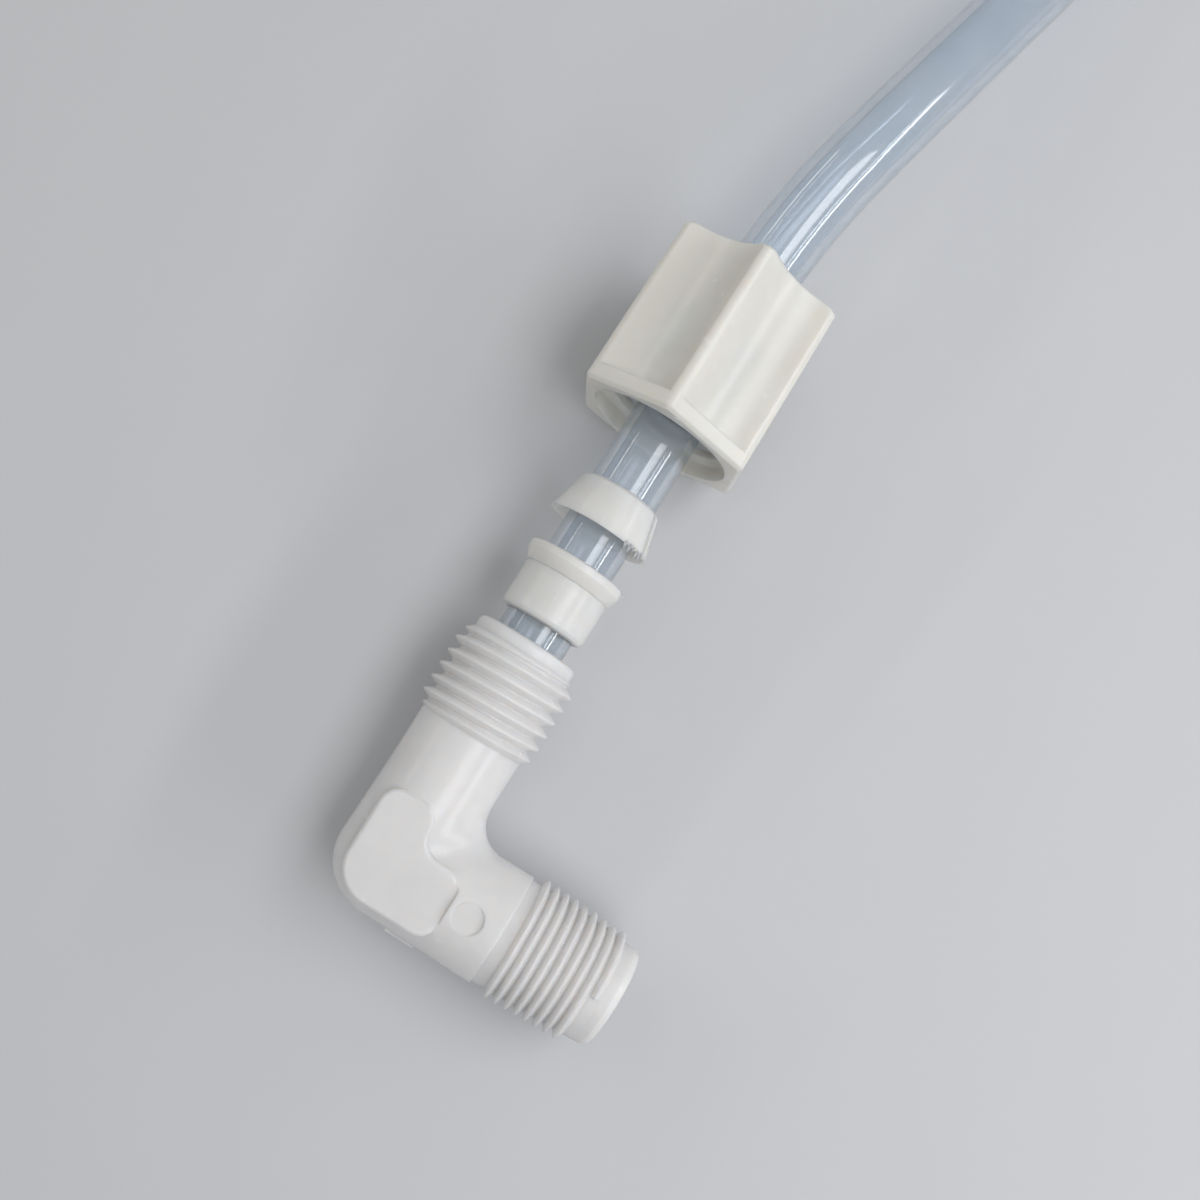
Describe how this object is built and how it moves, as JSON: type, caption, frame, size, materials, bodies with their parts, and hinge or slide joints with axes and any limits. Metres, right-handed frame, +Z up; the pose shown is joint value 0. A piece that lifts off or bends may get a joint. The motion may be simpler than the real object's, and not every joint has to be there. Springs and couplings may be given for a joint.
{
  "type": "elbow compression tube fitting",
  "caption": "Right-angle plastic compression fitting with a taper pipe thread, shown loosely apart along its tube: body, sleeve, split gripper ring and scalloped nut.",
  "frame": {"origin": "middle of the end face of the pipe-thread leg", "axes": "+X out of the pipe-thread leg along its axis, +Z up, and +Y along the tube leg seen from above; the tube leg rises by 3.9 degrees"},
  "size_m": [0.0564, 0.2201, 0.0338],
  "materials": {
    "milky_plastic": "satin",
    "clear_tube": "gloss"
  },
  "bodies": {
    "elbow": {"elbow_body": "milky_plastic", "tube": "clear_tube"},
    "sleeve": {"sleeve": "milky_plastic"},
    "gripper": {"gripper_ring": "milky_plastic"},
    "nut": {"nut": "milky_plastic"}
  },
  "joints": [
    {"name": "sleeve_slide", "type": "slide", "parent": "elbow", "child": "sleeve", "axis": [0, 0.9977, 0.0679], "range_m": [-0.0112, 0]},
    {"name": "gripper_slide", "type": "slide", "parent": "sleeve", "child": "gripper", "axis": [0, 0.9977, 0.0679], "range_m": [-0.006, 0]},
    {"name": "nut_slide", "type": "slide", "parent": "gripper", "child": "nut", "axis": [0, 0.9977, 0.0679], "range_m": [-0.0371, 0]}
  ]
}
